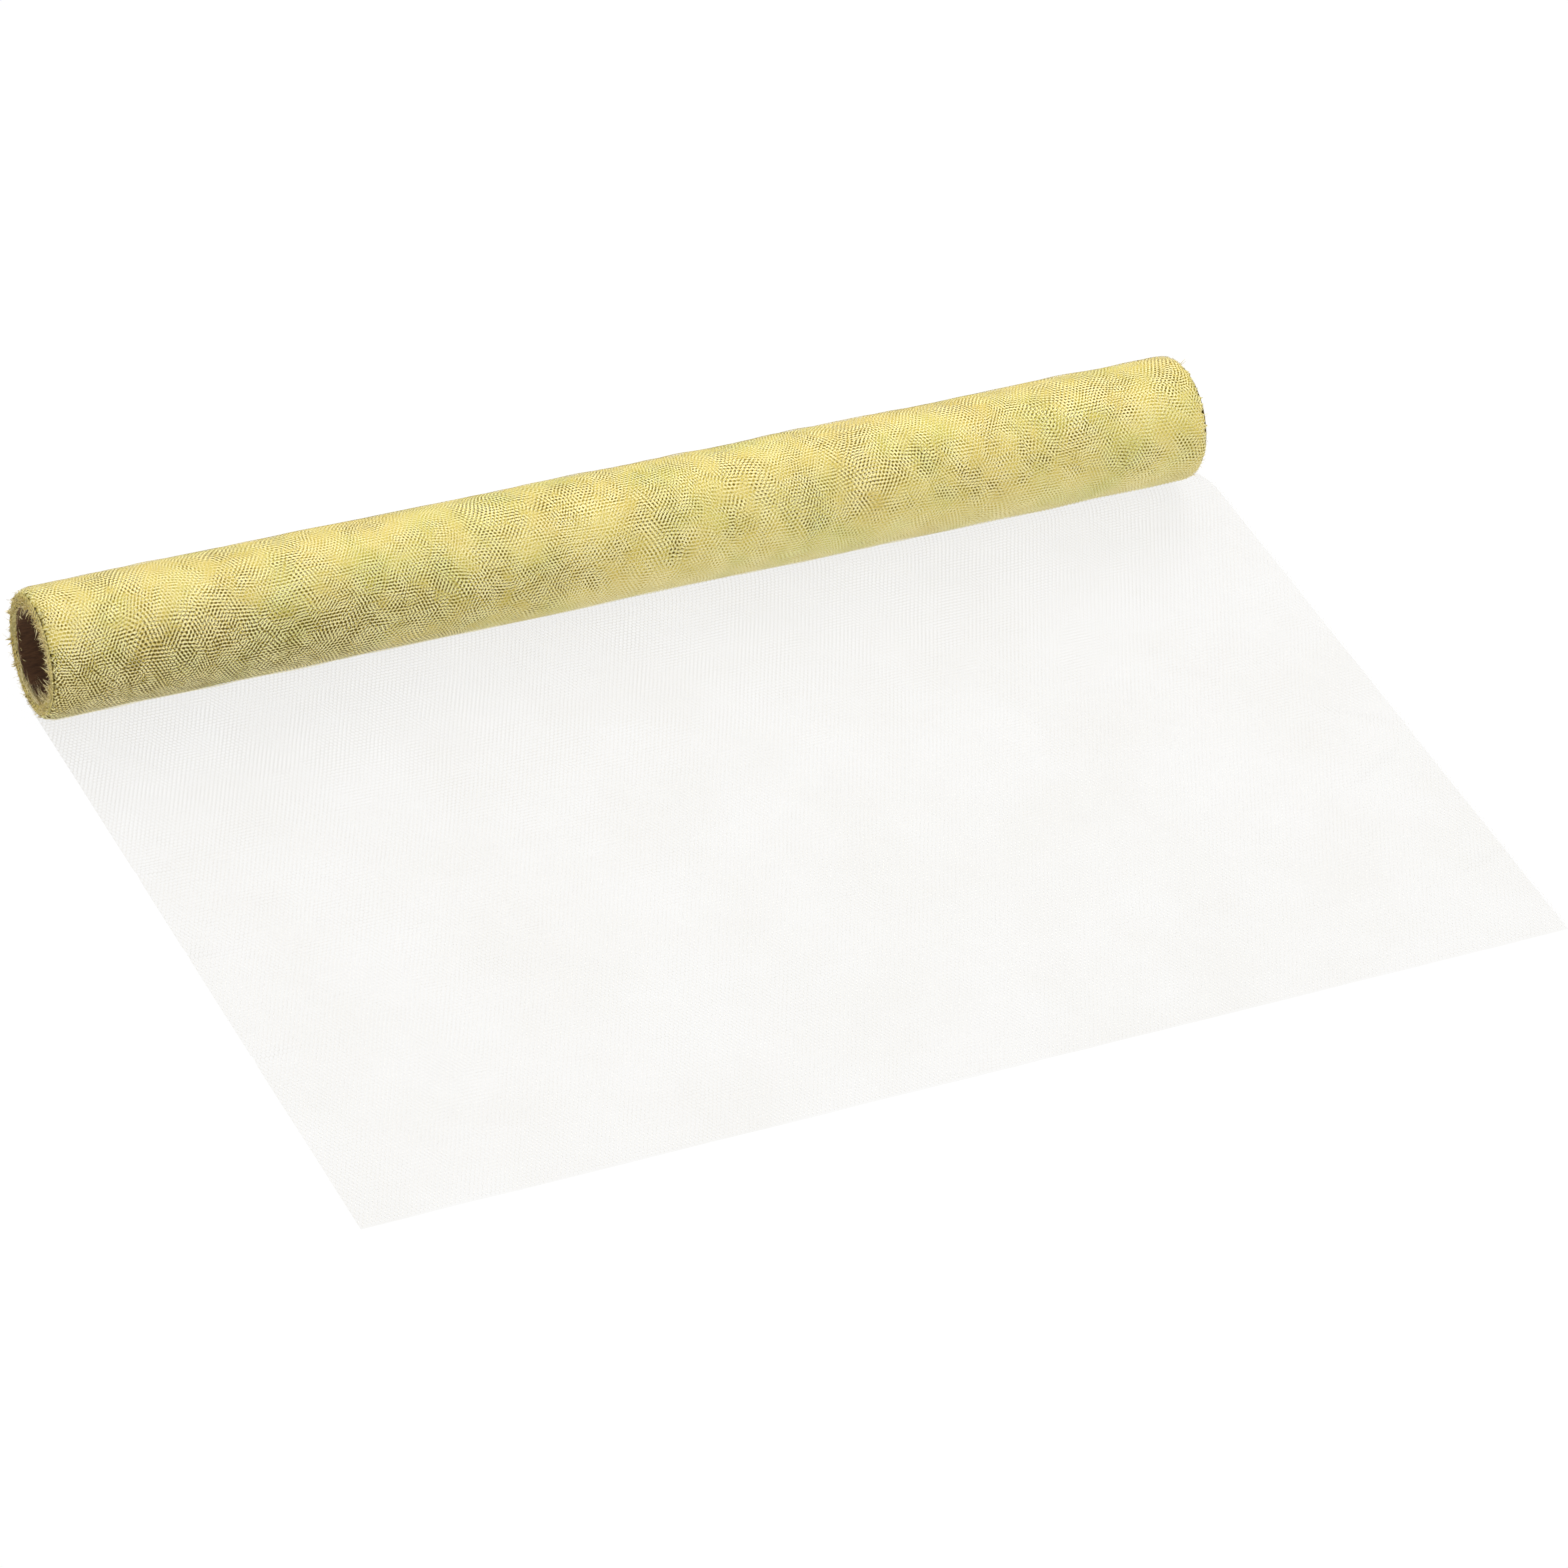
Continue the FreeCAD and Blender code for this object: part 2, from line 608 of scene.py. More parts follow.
def repeat(bm: bmesh.types.BMesh, step: Vector, count: int) -> None:
    """Copies all of a mesh in a row.

    Args:
        bm: the mesh.
        step: from one copy to the next.
        count: how many there are in the end, with the first.
    """
    each, made = len(bm.faces), 1
    while made < count:
        taken = min(made, count - made)
        copies = bmesh.ops.duplicate(bm, geom=bm.faces[: taken * each])["geom"]
        verts = [v for v in copies if isinstance(v, bmesh.types.BMVert)]
        bmesh.ops.translate(bm, verts=verts, vec=step * made)
        made += taken


def smooth_flat(
    width: float, length: float, columns: int, rows: int, crowding: float = 0.0
) -> bmesh.types.BMesh:
    """Makes a flat rectangle of web, as one smooth sheet with a corner at the origin.

    Args:
        width: its size along X.
        length: its size along Y.
        columns: how many faces it has along X.
        rows: how many it has along Y.
        crowding: how much closer together the columns are at both sides, from 0 to 1.

    Returns:
        The sheet.
    """
    bm = bmesh.new()
    at = Matrix.Diagonal((width, length, 1, 1)) @ Matrix.Translation((0.5, 0.5, 0))
    bmesh.ops.create_grid(bm, x_segments=columns, y_segments=rows, size=0.5, matrix=at)
    for vert in bm.verts:
        turn = math.tau * vert.co.x / width
        vert.co.x -= crowding * width / math.tau * math.sin(turn)
    return bm


def net_flat(width: float, length: float, pitch: float, thread: float) -> bmesh.types.BMesh:
    """Makes a flat rectangle of web, as a hexagonal net of flat threads.

    Each joint of the net has three threads. Each thread is a flat strip that leans its own
    way, so the three directions catch the light differently.

    Args:
        width: the rectangle's size along X.
        length: its size along Y.
        pitch: from one cell's middle to the next one's.
        thread: a thread's width.

    Returns:
        The net, with a corner at the origin.
    """
    bm = bmesh.new()
    side = pitch / math.sqrt(3)
    leans = ((90, 25), (210, -30), (330, 10))  # each thread's direction and lean, in degrees
    for middle in (Vector((pitch / 4, side, 0)), Vector((pitch * 3 / 4, side * 2.5, 0))):
        for turn, lean in leans:
            at = (
                Matrix.Translation(middle)
                @ Matrix.Rotation(math.radians(turn), 4, "Z")
                @ Matrix.Translation((side / 2, 0, 0))
                @ Matrix.Rotation(math.radians(lean), 4, "X")
                @ Matrix.Diagonal((side, thread, 1, 1))
            )
            bmesh.ops.create_grid(bm, x_segments=1, y_segments=1, size=0.5, matrix=at)
    repeat(bm, Vector((pitch, 0, 0)), round(width / pitch))
    repeat(bm, Vector((0, side * 3, 0)), round(length / (side * 3)))
    return bm


def as_piece(
    name: str, bm: bmesh.types.BMesh, size: tuple[float, float] | None, place: Place
) -> Piece:
    """Turns a flat pattern into a piece, drawn flat on its map and then bent to its shape.

    Args:
        name: the piece's name.
        bm: the flat pattern. It is freed.
        size: the flat pattern's width and length, or None for a piece with no map.
        place: turns flat places into places in space.

    Returns:
        The piece.
    """
    mesh = bpy.data.meshes.new(name)
    bm.to_mesh(mesh)
    bm.free()
    flat = np.empty((len(mesh.vertices), 3), np.float32)
    mesh.vertices.foreach_get("co", flat.ravel())
    if size:
        corner = np.empty(len(mesh.loops), np.int32)
        mesh.loops.foreach_get("vertex_index", corner)
        drawn = np.clip(flat[:, :2] / np.array(size), MAP_MARGIN, 1 - MAP_MARGIN)
        uv_map = mesh.uv_layers.new(name=WEB_MAP)
        uv_map.uv.foreach_set("vector", drawn.astype(np.float32)[corner].ravel())
    mesh.vertices.foreach_set("co", place(flat.astype(float)).astype(np.float32).ravel())
    mesh.polygons.foreach_set("use_smooth", np.ones(len(mesh.polygons), bool))
    mesh.update()
    piece = bpy.data.objects.new(name, mesh)
    bpy.context.scene.collection.objects.link(piece)
    return piece


@dataclass(frozen=True)
class Ripple:
    """Soft unevenness: waves that cross in every direction, the same on each run.

    The shortest and the longest wave are shares of its length.
    """

    height: float
    length: float
    seed: int
    waves: int = 12
    shortest: float = 0.55
    longest: float = 1.7

    def at(self, places: np.ndarray) -> np.ndarray:
        """Works out the unevenness.

        Args:
            places: points in space, one a row.

        Returns:
            A height for each point, mostly within twice self.height of zero.
        """
        draw = random.Random(self.seed)
        total = np.zeros(len(places))
        for _ in range(self.waves):
            way = Vector((draw.gauss(0, 1), draw.gauss(0, 1), draw.gauss(0, 1))).normalized()
            rate = math.tau / (self.length * draw.uniform(self.shortest, self.longest))
            total += np.sin(places @ np.array(way) * rate + draw.uniform(0, math.tau))
        return self.height * total / math.sqrt(self.waves / 2)


def rounded(depth: np.ndarray, reach: float, drop: np.ndarray) -> np.ndarray:
    """Works out an elliptical shoulder.

    Args:
        depth: distance in from the edge.
        reach: how far in the shoulder starts.
        drop: how far the surface has dropped at the edge.

    Returns:
        The drop at each depth.
    """
    outside = np.clip(1 - depth / reach, 0, 1)
    return drop * (1 - np.sqrt(1 - outside**2))


@dataclass(frozen=True)
class RollSpace:
    """Where the roll lies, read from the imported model, and the rounding of its shoulders."""

    left: float
    right: float
    axis_height: float
    radius: float
    pack_inner: float
    shoulder_reach: float = 5 * MM
    left_drop: float = 2.2 * MM
    right_drop: float = 3.0 * MM

    @classmethod
    def read(cls) -> "RollSpace":
        """Reads the sizes from the boxes of the outer lap and the core's cover ply.

        Returns:
            The roll's ends, axis and radii.
        """
        low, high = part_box("outer_lap")
        axis_height = (low[2] + high[2]) / 2
        return cls(
            left=low[0],
            right=high[0],
            axis_height=axis_height,
            radius=high[2] - axis_height,
            pack_inner=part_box("core_cover_ply")[1][2] - axis_height,
        )

    @property
    def width(self) -> float:
        """The web's width as it is wound."""
        return self.right - self.left

    def drop(self, x: np.ndarray | float) -> np.ndarray:
        """Gives the shoulder's drop at the end that is nearer to each place along the roll."""
        return np.where(np.asarray(x) < 0, self.left_drop, self.right_drop)

    def point(self, x: np.ndarray, turn: np.ndarray, radius: np.ndarray) -> np.ndarray:
        """Turns places along, round and out from the axis into points in space.

        Args:
            x: places along the roll.
            turn: angles round it.
            radius: distances from its axis.

        Returns:
            Points in space, one a row.
        """
        y = radius * np.sin(turn)
        z = self.axis_height - radius * np.cos(turn)
        return np.stack([x, y, z], 1)


# ---------------------------------------------------------------- the roll


@dataclass
class PaperCore:
    """The core's four glued plies and the tapes on it, as packed, with their finishes."""

    space: RollSpace

    def build(self) -> None:
        """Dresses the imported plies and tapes."""
        finishes = {
            "core_liner_ply": ("4A3020", "7A5638", 68 * MM),
            "core_inner_ply": ("4A3322", "6E4E34", 72 * MM),
            "core_outer_ply": ("4A3322", "6E4E34", 76 * MM),
            "core_cover_ply": ("5A3E28", "80603F", 80 * MM),
        }
        for node, (dark, light, pitch) in finishes.items():
            board = KraftBoard(f"kraft_{node}", self.space.axis_height, dark, light, pitch)
            dress(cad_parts[node], board)
            log.info("dressed %s", node)
        dress(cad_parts["start_tapes"], FrostedTape())
        log.info("dressed start_tapes")


@dataclass
class WoundWeb:
    """The laps under the outer one: a thick pack whose ends show each lap's ragged edge.

    Crests and valleys are drawn between two shares of lap_depth. They lie at shares of a lap's
    own thickness.
    """

    space: RollSpace
    laps: int = 13
    lap_depth: float = 1.1 * MM
    crests: tuple[float, float] = (0.2, 0.8)
    valleys: tuple[float, float] = (1.4, 2.0)
    crest_from: float = 0.15
    crest_to: float = 0.6
    valley_at: float = 0.85
    steps: int = 180
    under_lap: float = 1.3 * MM
    seed: int = 7
    fine_rag: Ripple = Ripple(0.28 * MM, 1.6 * MM, 5)
    wide_rag: Ripple = Ripple(0.3 * MM, 9 * MM, 6)

    @property
    def outer(self) -> float:
        """The pack's outer radius."""
        return self.space.radius - self.under_lap

    def outline(self) -> list[tuple[float, float]]:
        """Draws the pack's outline.

        Returns:
            Places along the roll, each with its radius: out at the left end, in at the right.
        """
        space = self.space
        lap = (self.outer - space.pack_inner) / self.laps
        draw = random.Random(self.seed)
        outline = []
        for end, way in ((space.left, 1), (space.right, -1)):
            line = []
            for count in range(self.laps):
                crest = end + way * draw.uniform(*self.crests) * self.lap_depth
                valley = end + way * draw.uniform(*self.valleys) * self.lap_depth
                base = space.pack_inner + count * lap
                line += [(crest, base + lap * self.crest_from), (crest, base + lap * self.crest_to),
                         (valley, base + lap * self.valley_at)]
            outline += line if way == 1 else line[::-1]
        return outline

    def build(self) -> Piece:
        """Spins the pack's outline round the axis, and roughens its ends.

        Returns:
            The pack.
        """
        height = self.space.axis_height
        bm = bmesh.new()
        verts = [bm.verts.new((x, 0, height + radius)) for x, radius in self.outline()]
        edges = [bm.edges.new(ends) for ends in zip(verts, verts[1:] + verts[:1])]
        bmesh.ops.spin(
            bm,
            geom=verts + edges,
            cent=(0, 0, height),
            axis=(1, 0, 0),
            angle=math.tau,
            steps=self.steps,
            use_merge=True,
        )
        bmesh.ops.recalc_face_normals(bm, faces=bm.faces)
        piece = as_piece("wound_web_pack", bm, None, self.roughened)
        dress(piece, FilmThread("metallised_net_edges", "9C8C4A", "D9CC8C", 0.2, 0.55, 900.0))
        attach(piece, Body.ROLL.value)
        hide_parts("wound_web")
        return piece

    def roughened(self, flat: np.ndarray) -> np.ndarray:
        """Moves the ends' points in and out, so each lap's edge is ragged.

        Args:
            flat: places on the spun pack.

        Returns:
            The places moved.
        """
        space = self.space
        near_end = np.abs(flat[:, 0]) > space.right - 3 * self.lap_depth
        ragged = self.fine_rag.at(flat) + self.wide_rag.at(flat)
        radius = np.hypot(flat[:, 1], flat[:, 2] - space.axis_height)
        inset = rounded(self.outer - radius, space.drop(flat[:, 0]), space.shoulder_reach)
        flat[:, 0] += (ragged - np.sign(flat[:, 0]) * inset) * near_end
        return flat


@dataclass
class OuterLap:
    """The last turn of web: a smooth lap that shows the layers under it, and a net on it."""

    space: RollSpace
    slit: float = math.radians(0.5)
    columns: int = 300
    rows: int = 150
    crowding: float = 0.85
    thread: float = 0.19 * MM
    under: float = 0.42 * MM
    net_lift: float = 0.2 * MM
    ends_reach: float = 4 * MM
    thread_ends: Ripple = Ripple(0.45 * MM, 2.6 * MM, 23)
    lap_unevenness: Ripple = Ripple(0.16 * MM, 34 * MM, 2)
    loose_lift: Ripple = Ripple(0.14 * MM, 26 * MM, 17)

    @property
    def length(self) -> float:
        """The lap's length round the roll."""
        return (math.tau - self.slit) * self.space.radius

    def wrap(self, flat: np.ndarray, lift: float) -> np.ndarray:
        """Bends the flat web round the roll.

        Args:
            flat: places on the flat web.
            lift: how far it stands off the smooth lap.

        Returns:
            Places in space.
        """
        space = self.space
        x = space.left + flat[:, 0]
        turn = self.slit + flat[:, 1] / space.radius
        base = space.point(x, turn, np.full(len(x), space.radius))
        inside = np.minimum(x - space.left, space.right - x)
        round_off = rounded(inside, space.shoulder_reach, space.drop(x))
        radius = space.radius - self.under + self.lap_unevenness.at(base) - round_off
        x = x + self.thread_ends.at(base) * np.clip(1 - inside / self.ends_reach, 0, 1)
        if lift:
            radius = radius + lift + np.abs(self.loose_lift.at(base)) + flat[:, 2]
        return space.point(x, turn, radius)

    def build(self, edges: list[Piece]) -> list[Piece]:
        """Makes the smooth lap and the net on it.

        Args:
            edges: the pieces at the web's two cut edges. Not used.

        Returns:
            The lap and its net.
        """
        size = (self.space.width, self.length)
        lap = as_piece(
            "outer_lap_web",
            smooth_flat(*size, self.columns, self.rows, self.crowding),
            size,
            lambda flat: self.wrap(flat, 0),
        )
        dress(lap, LayeredNet("metallised_net_layers", size))
        net = as_piece(
            "outer_lap_net",
            net_flat(*size, NET_PITCH, self.thread),
            size,
            lambda flat: self.wrap(flat, self.net_lift),
        )
        dress(net, FilmThread("metallised_film_thread", "CDC284", "F4EDC0"))
        for piece in (lap, net):
            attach(piece, Body.ROLL.value)
        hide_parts("outer_lap")
        return [lap, net]


@dataclass(frozen=True)
class Mouth:
    """The shape of one end of the roll: its face, and the edge of the web that droops over it.

    The face bulges out from the web's end, and dips towards the drooping edge. The edge hangs
    in by droop, and by droop_swing more on the side of droop_way and less on the other.
    """

    space: RollSpace
    name: str
    end: float
    outward: int
    seed: int
    bulge: float = 0.3 * MM
    dip: float = 1.7 * MM
    droop: float = 2.0 * MM
    droop_swing: float = 4.2 * MM
    droop_way: float = math.radians(-150)

    @property
    def flap_outer(self) -> float:
        """How far the flap reaches out from the core: to the lower edge of the shoulder."""
        space = self.space
        return space.radius - float(space.drop(self.end)) - space.pack_inner

    def rim(self, turn: np.ndarray) -> np.ndarray:
        """Gives the radius of the drooping edge.

        Args:
            turn: angles round the roll.

        Returns:
            The edge's radius at each.
        """
        droop = np.clip(self.droop + self.droop_swing * np.cos(turn - self.droop_way), 0, None)
        around = np.stack([np.cos(turn), np.sin(turn), np.full(len(turn), self.outward)], 1)
        place = around * self.space.pack_inner
        ragged = Ripple(0.5 * MM, 2.2 * MM, self.seed).at(place)
        scallops = Ripple(0.4 * MM, 13 * MM, self.seed + 1).at(place)
        return self.space.pack_inner - droop + ragged + scallops

    def face(self, turn: np.ndarray, radius: np.ndarray) -> np.ndarray:
        """Gives the surface of the roll's end.

        Args:
            turn: angles round the roll.
            radius: distances from its axis.

        Returns:
            The surface's place along the roll at each.
        """
        space = self.space
        outer = space.pack_inner + self.flap_outer
        share = np.clip((outer - radius) / (outer - self.rim(turn)), 0, 1)
        inset = rounded(space.radius - radius, space.drop(self.end), space.shoulder_reach)
        return self.end + self.outward * (self.bulge - self.dip * share**2 - inset)


@dataclass
class MouthFlap:
    """The web's edges where they have slipped off the core's end and droop over its mouth."""

    mouth: Mouth
    columns: int = 260
    rows: int = 9

    @property
    def size(self) -> tuple[float, float]:
        """The flap's flat size: round the roll, and in towards its axis."""
        mouth = self.mouth
        return math.tau * mouth.space.pack_inner, mouth.flap_outer + mouth.droop

    def fold(self, flat: np.ndarray) -> np.ndarray:
        """Bends the flat strip into a ring over the end of the core.

        Args:
            flat: places on the flat strip.

        Returns:
            Places in space.
        """
        mouth = self.mouth
        turn = flat[:, 0] / self.size[0] * math.tau
        outer = mouth.space.pack_inner + mouth.flap_outer
        radius = outer + flat[:, 1] / self.size[1] * (mouth.rim(turn) - outer)
        return mouth.space.point(mouth.face(turn, radius), turn, radius)

    def build(self) -> Piece:
        """Makes the flap, closed all the way round.

        Returns:
            The flap.
        """
        name = self.mouth.name
        strip = smooth_flat(*self.size, self.columns, self.rows)
        piece = as_piece(f"{name}_mouth_flap", strip, self.size, self.fold)
        ring = bmesh.new()
        ring.from_mesh(piece.data)
        bmesh.ops.remove_doubles(ring, verts=ring.verts, dist=0.001 * MM)
        bmesh.ops.recalc_face_normals(ring, faces=ring.faces)
        ring.to_mesh(piece.data)
        ring.free()
        layers = LayeredNet(
            f"{name}_mouth_net_layers", self.size, gap="4A3F18", middle="B9A85C", thread="E4D794"
        )
        dress(piece, layers)
        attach(piece, Body.ROLL.value)
        return piece


@dataclass(frozen=True)
class Tuft:
    """One kind of loose thread end at an end of the roll.

    A length is drawn between two limits, and inwards and turn have a middle and a spread. A
    root lies up to depth out from the drooping edge. The thread then runs outwards, inwards
    and sideways by those shares of its length, and bends.
    """

    count: int
    thread: float
    length: tuple[float, float]
    depth: float
    outwards: float
    inwards: tuple[float, float]
    sideways: float
    bend: float
    turn: tuple[float, float] | None = None

    def draw_all(self, draw: np.random.Generator) -> np.ndarray:
        """Draws what each thread end is like.

        Args:
            draw: the random numbers.

        Returns:
            A row for each: width, length, start, turn, out, in, slide, bend and twist.
        """
        count = self.count
        turn = draw.normal(*self.turn, count) if self.turn else draw.uniform(0, math.tau, count)
        return np.stack(
            [
                self.thread * draw.uniform(0.7, 1.2, count),
                draw.uniform(*self.length, count),
                self.depth * draw.uniform(0, 1, count),
                turn,
                np.full(count, self.outwards),
                draw.normal(*self.inwards, count),
                draw.normal(0, self.sideways, count),
                draw.normal(0, self.bend, count),
                draw.uniform(0, math.pi, count),
            ],
            1,
        )


@dataclass
class Fringe:
    """Cut thread ends at one end of the roll.

    Stubs cover the laps' ends, and a few whiskers stand out from them. Hairs and broad spikes of
    gathered thread stand in from the drooping edge, and long curls lie in the bottom of the
    core's mouth. On the back side, teeth point straight in and tatters stand straight out.
    """

    mouth: Mouth
    segments: int = 6
    floor_gap: float = 0.15 * MM
    root_gap: float = 0.4 * MM
    root_depth: float = 0.1 * MM
    tip_width: float = 0.05
    inward_curve: float = 1.4
    bend_share: float = 0.6
    twist_along: float = 1.2

    def tufts(self) -> list[Tuft]:
        """Names the kinds of thread end.

        Returns:
            The kinds, in the order that they are drawn in.
        """
        wall = self.mouth.space.radius - self.mouth.space.pack_inner
        stubs = Tuft(
            count=1300, thread=0.3 * MM, length=(0.6 * MM, 1.7 * MM), depth=wall,
            outwards=0.5, inwards=(0.25, 0.7), sideways=0.9, bend=0.8,
        )
        whiskers = Tuft(
            count=230, thread=0.5 * MM, length=(1.6 * MM, 3.6 * MM), depth=wall,
            outwards=0.75, inwards=(-0.2, 0.5), sideways=0.5, bend=0.6,
        )
        hairs = Tuft(
            count=110, thread=0.4 * MM, length=(1.5 * MM, 4.0 * MM), depth=0.4 * MM,
            outwards=0.3, inwards=(0.8, 0.3), sideways=0.45, bend=0.8,
        )
        spikes = Tuft(
            count=60, thread=1.3 * MM, length=(2.4 * MM, 4.8 * MM), depth=0.2 * MM,
            outwards=0.45, inwards=(0.85, 0.2), sideways=0.5, bend=0.5,
        )
        curls = Tuft(
            count=120, thread=0.65 * MM, length=(5 * MM, 11 * MM), depth=0.8 * MM,
            outwards=0.3, inwards=(0.8, 0.3), sideways=0.5, bend=1.5, turn=(-0.3, 0.5),
        )
        teeth = Tuft(
            count=30, thread=1.2 * MM, length=(2.0 * MM, 4.2 * MM), depth=0.2 * MM,
            outwards=0.0, inwards=(1.0, 0.15), sideways=0.4, bend=0.5, turn=(1.5, 0.7),
        )
        tatters = Tuft(
            count=34, thread=1.3 * MM, length=(1.8 * MM, 3.6 * MM), depth=wall * 0.7,
            outwards=0.9, inwards=(0.0, 0.25), sideways=0.5, bend=0.5, turn=(1.4, 0.8),
        )
        return [stubs, whiskers, hairs, spikes, curls, teeth, tatters]

    def strand_flat(self, count: int) -> bmesh.types.BMesh:
        """Makes all the strands flat, each 1 long and 0.5 wide, in a row that is 1 apart.

        Args:
            count: how many there are.

        Returns:
            The strands.
        """
        bm = bmesh.new()
        at = Matrix.Translation((0.5, 0.5, 0)) @ Matrix.Diagonal((1, 0.5, 1, 1))
        bmesh.ops.create_grid(bm, x_segments=self.segments, y_segments=1, size=0.5, matrix=at)
        repeat(bm, Vector((0, 1, 0)), count)
        return bm

    def curl(self, flat: np.ndarray, kinds: np.ndarray) -> np.ndarray:
        """Sets each strand in its place and bends it.

        Args:
            flat: places on the flat strands.
            kinds: what each strand is like, as Tuft.draw_all gives it.

        Returns:
            Places in space.
        """
        mouth = self.mouth
        one = np.minimum(flat[:, 1].astype(int), len(kinds) - 1)
        along = flat[:, 0]
        width, length, start, turn, out, inwards, sideways, bend, twist = kinds[one].T
        root = np.minimum(mouth.rim(turn) + start, mouth.space.radius - self.root_gap)
        taper = 1 + self.tip_width - along
        across = (flat[:, 1] - one - 0.5) * 2 * width * taper
        drop = length * inwards * along**self.inward_curve
        slide = length * (sideways * along + bend * along**2 * self.bend_share)
        wide = twist + self.twist_along * along
        stand = length * along * out - self.root_depth
        x = mouth.face(turn, root) + mouth.outward * stand
        lowest = mouth.space.axis_height - self.floor_gap
        radius = np.minimum(root - drop + across * np.sin(wide), lowest)
        angle = turn + (slide + across * np.cos(wide)) / root
        return mouth.space.point(x, angle, radius)

    def build(self) -> Piece:
        """Makes the fringe.

        Returns:
            The fringe, as one piece.
        """
        draw = np.random.default_rng(self.mouth.seed)
        kinds = np.concatenate([tuft.draw_all(draw) for tuft in self.tufts()])
        count = len(kinds)
        name = f"{self.mouth.name}_fringe"
        piece = as_piece(
            name, self.strand_flat(count), (1.0, float(count)), lambda flat: self.curl(flat, kinds)
        )
        dress(piece, FilmThread(f"cut_film_{name}", "A48E48", "F8EAB2", 0.1, 0.5, 900.0))
        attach(piece, Body.ROLL.value)
        return piece


# ---------------------------------------------------------------- the loose web


@dataclass
class LeadOff:
    """The stretch that comes up the back of the roll, and travels with it without turning.

    It stands off_roll from the roll at the floor, and closer by that share at its top.
    """

    space: RollSpace
    start: float = math.radians(-2)
    stop: float = math.radians(62)
    columns: int = 160
    rows: int = 24
    thread: float = 0.2 * MM
    off_roll: float = 0.45 * MM
    closer: float = 0.6
    net_lift: float = 0.06 * MM
    unevenness: Ripple = Ripple(0.1 * MM, 40 * MM, 31)

    @property
    def length(self) -> float:
        """The stretch's length round the roll."""
        return (self.stop - self.start) * (self.space.radius + self.off_roll)

    def wrap(self, flat: np.ndarray, lift: float) -> np.ndarray:
        """Bends the flat web up the back of the roll.

        Args:
            flat: places on the flat web.
            lift: how far it stands off the smooth web.

        Returns:
            Places in space.
        """
        space = self.space
        share = flat[:, 1] / self.length
        turn = self.start + share * (self.stop - self.start)
        radius = space.radius + self.off_roll * (1 - self.closer * share) + lift + flat[:, 2]
        base = space.point(flat[:, 0], turn, radius)
        return space.point(space.left + flat[:, 0], turn, radius + np.abs(self.unevenness.at(base)))

    def build(self) -> list[Piece]:
        """Makes the smooth web and the net on it.

        Returns:
            The web and its net.
        """
        size = (self.space.width, self.length)
        flat_web = smooth_flat(*size, self.columns, self.rows)
        web = as_piece("lead_off_sheet", flat_web, size, lambda flat: self.wrap(flat, 0))
        dress(web, SheerNet("sheer_net_lead_off", size))
        net = as_piece(
            "lead_off_net",
            net_flat(*size, NET_PITCH, self.thread),
            size,
            lambda flat: self.wrap(flat, self.net_lift),
        )
        dress(net, FilmThread("film_thread_lead_off", "D8C884", "F6ECBC"))
        for piece in (web, net):
            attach(piece, Body.TRAVELLING.value)
        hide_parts("lead_off_web")
        return [web, net]


@dataclass(frozen=True)
class Crease:
    """A small soft ridge in the laid web. It runs at an angle to X, in degrees."""

    x: float
    y: float
    reach: float
    degrees: float
    height: float = 1.1 * MM
    half_width: float = 1.6 * MM

    def at(self, x: np.ndarray, y: np.ndarray) -> np.ndarray:
        """Works out the ridge's height.

        Args:
            x: places along the roll.
            y: places in front of it.

        Returns:
            The height at each.
        """
        turn = math.radians(self.degrees)
        along = (x - self.x) * math.cos(turn) + (y - self.y) * math.sin(turn)
        side = (y - self.y) * math.cos(turn) - (x - self.x) * math.sin(turn)
        return self.height * np.exp(-((along / self.reach) ** 2) - (side / self.half_width) ** 2)


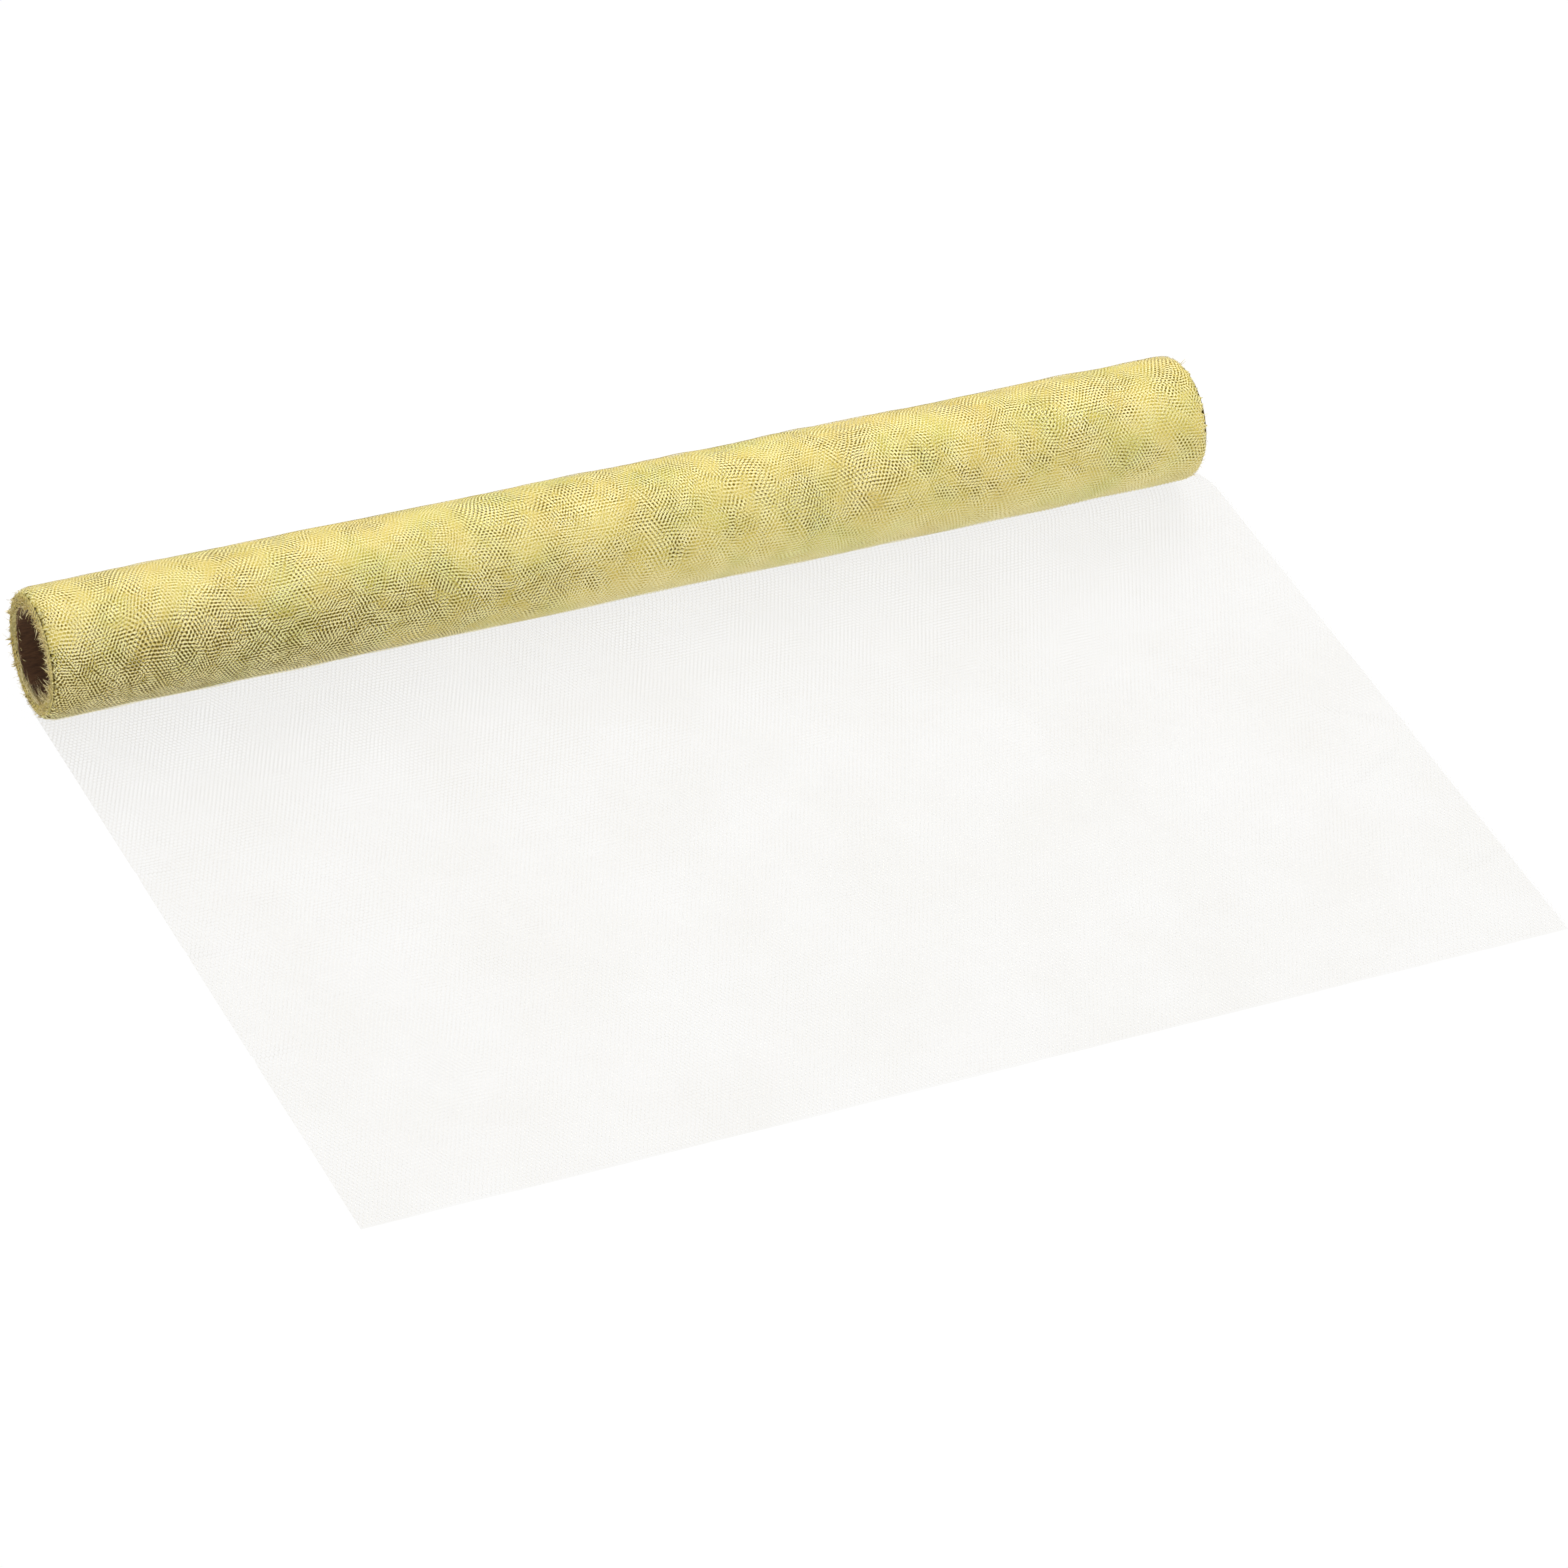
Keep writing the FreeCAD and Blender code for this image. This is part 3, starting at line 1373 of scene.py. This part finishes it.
@dataclass
class LaidWeb:
    """The web laid out in front of the roll: sheer, nearly flat, with a few small creases.

    It is narrower by the roll, and widens to its full spread over its flare. It is shorn
    sideways, so its cut edge lies towards the right end. Its ripples start as it leaves the
    roll, and are whole at ripple_reach.
    """

    space: RollSpace
    rear: float = 1.5 * MM
    shear: float = 28.2 * MM
    flare: float = 20 * MM
    rear_overhang: float = 3 * MM
    columns: int = 220
    rows: int = 130
    thread: float = 0.1 * MM
    height: float = 0.12 * MM
    net_lift: float = 0.05 * MM
    ripple_reach: float = 45 * MM
    ripples: Ripple = Ripple(0.16 * MM, 60 * MM, 41)
    creases: tuple[Crease, ...] = (
        Crease(-0.236, -0.095, 0.012, 8),
        Crease(-0.232, -0.138, 0.014, -6),
        Crease(-0.226, -0.192, 0.016, 10),
        Crease(0.262, -0.150, 0.020, -30),
        Crease(0.255, -0.178, 0.018, 25),
        Crease(0.275, -0.235, 0.012, 15),
    )
    front: float = field(init=False)
    width: float = field(init=False)
    length: float = field(init=False)

    def __post_init__(self) -> None:
        """Reads the sheet's front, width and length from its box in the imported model."""
        low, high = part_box("laid_web")
        self.front = low[1]
        self.width = high[0] - low[0] - self.shear
        self.length = self.rear - self.front

    def spread(self, flat: np.ndarray, lift: float) -> np.ndarray:
        """Lays the flat web on the floor, narrower where the roll still holds it.

        Args:
            flat: places on the flat web.
            lift: how far it stands off the smooth sheet.

        Returns:
            Places in space.
        """
        y = self.rear - flat[:, 1]
        forward = np.clip(-y, 0, None)
        held = np.clip(1 - forward / self.flare, 0, 1) ** 2
        narrow = (self.width - self.space.width - self.rear_overhang) * held
        across = flat[:, 0] / self.width
        x = self.space.left + self.shear * forward / -self.front + across * (self.width - narrow)
        places = np.stack([x, y, np.zeros(len(x))], 1)
        away = np.clip(forward / self.ripple_reach, 0, 1)
        z = self.height + lift + flat[:, 2] + np.abs(self.ripples.at(places)) * away
        return np.stack([x, y, z + sum(crease.at(x, y) for crease in self.creases)], 1)

    def build(self) -> list[Piece]:
        """Makes the smooth web, and the net on it in two halves.

        Returns:
            The web and its nets.
        """
        size = (self.width, self.length)
        flat_web = smooth_flat(*size, self.columns, self.rows)
        web = as_piece("laid_web_sheet", flat_web, size, lambda flat: self.spread(flat, 0))
        dress(web, SheerNet("sheer_net_layer", size))
        pieces = [web]
        half = round(self.width / 2 / NET_PITCH) * NET_PITCH
        for side, start in (("left", 0.0), ("right", half)):
            net = as_piece(
                f"laid_web_net_{side}",
                net_flat(half, self.length, NET_PITCH, self.thread),
                (half, self.length),
                lambda flat, start=start: self.spread(flat + [start, 0, 0], self.net_lift),
            )
            dress(net, FilmThread("film_thread_laid", "C4C0B7", "D1CEC7", 0.4, 0.45))
            pieces.append(net)
        for piece in pieces:
            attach(piece, Body.LAID.value)
            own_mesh(piece)
        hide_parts("laid_web")
        return pieces


# ---------------------------------------------------------------- the studio


@dataclass(frozen=True)
class Softbox:
    """A square softbox that faces the roll. Its power is in watts."""

    name: str
    place: tuple[float, float, float]
    side: float
    power: float

    def hang(self) -> None:
        """Makes the lamp, and turns it to the roll."""
        lamp = bpy.data.lights.new(self.name, "AREA")
        lamp.shape, lamp.size, lamp.energy = "SQUARE", self.side, self.power
        box = bpy.data.objects.new(self.name, lamp)
        box.location = self.place
        box.rotation_euler = (-Vector(self.place)).to_track_quat("-Z", "Y").to_euler()
        bpy.context.scene.collection.objects.link(box)


@dataclass
class Studio:
    """A pale floor, soft light from above, and the camera."""

    floor_reach: float = 4.0
    room_light: float = 0.84
    softboxes: tuple[Softbox, ...] = (
        Softbox("rear_softbox", (0.35, 1.3, 1.4), side=2.0, power=27.0),
        Softbox("front_softbox", (0.7, -0.9, 1.7), side=1.6, power=15.0),
    )
    turn: float = math.radians(33.86)
    tilt: float = math.radians(46.44)
    roll: float = math.radians(13.17)
    distance: float = 2.5404
    look_at: tuple[float, float, float] = (0.01983, -0.12086, 0.0)
    lens: float = 149.15
    sensor: float = 36.0

    def build(self) -> None:
        """Makes the floor, the lights and the camera."""
        bm = bmesh.new()
        bmesh.ops.create_grid(bm, x_segments=8, y_segments=8, size=self.floor_reach)
        mesh = bpy.data.meshes.new("studio_floor")
        bm.to_mesh(mesh)
        bm.free()
        floor = bpy.data.objects.new("studio_floor", mesh)
        bpy.context.scene.collection.objects.link(floor)
        dress(floor, StudioFloor())
        self.light_up()
        self.aim_camera()

    def light_up(self) -> None:
        """Sets the white surroundings, and the softboxes behind and in front."""
        scene = bpy.context.scene
        scene.view_settings.view_transform = "Standard"
        world = bpy.data.worlds.new("white_room")
        world.use_nodes = True
        tree = world.node_tree
        tree.nodes.clear()
        sky = add(tree, "Background", {"Color": linear("FFFFFF"), "Strength": self.room_light})
        add(tree, "OutputWorld", {"Surface": sky})
        scene.world = world
        for softbox in self.softboxes:
            softbox.hang()

    def aim_camera(self) -> None:
        """Places the camera and turns it to the view."""
        level = Vector((math.cos(self.turn), -math.sin(self.turn), 0))
        flat_ahead = Vector((math.sin(self.turn), math.cos(self.turn), 0))
        ahead = flat_ahead * math.cos(self.tilt) - Vector((0, 0, math.sin(self.tilt)))
        right = Matrix.Rotation(-self.roll, 3, ahead) @ level
        up = right.cross(ahead)
        lens = bpy.data.cameras.new("camera")
        lens.lens, lens.sensor_width = self.lens, self.sensor
        camera = bpy.data.objects.new("camera", lens)
        pose = Matrix((right, up, -ahead)).transposed().to_4x4()
        pose.translation = Vector(self.look_at) - ahead * self.distance
        camera.matrix_world = pose
        bpy.context.scene.collection.objects.link(camera)
        bpy.context.scene.camera = camera


def main() -> None:
    """Builds every sub-assembly in order."""
    logging.basicConfig(level=logging.INFO, format="%(name)s: %(message)s")
    Studio().build()
    space = RollSpace.read()
    PaperCore(space).build()
    mouths = (
        Mouth(space, "left", end=space.left, outward=-1, seed=51),
        Mouth(space, "right", end=space.right, outward=1, seed=61),
    )
    edges = [part(mouth).build() for mouth in mouths for part in (MouthFlap, Fringe)]
    pieces = [WoundWeb(space).build(), *edges, *OuterLap(space).build(edges)]
    pieces += LeadOff(space).build()
    pieces += LaidWeb(space).build()
    for piece in pieces:
        log.info("%s: %d faces", piece.name, len(piece.data.polygons))


if __name__ == "__main__":
    main()
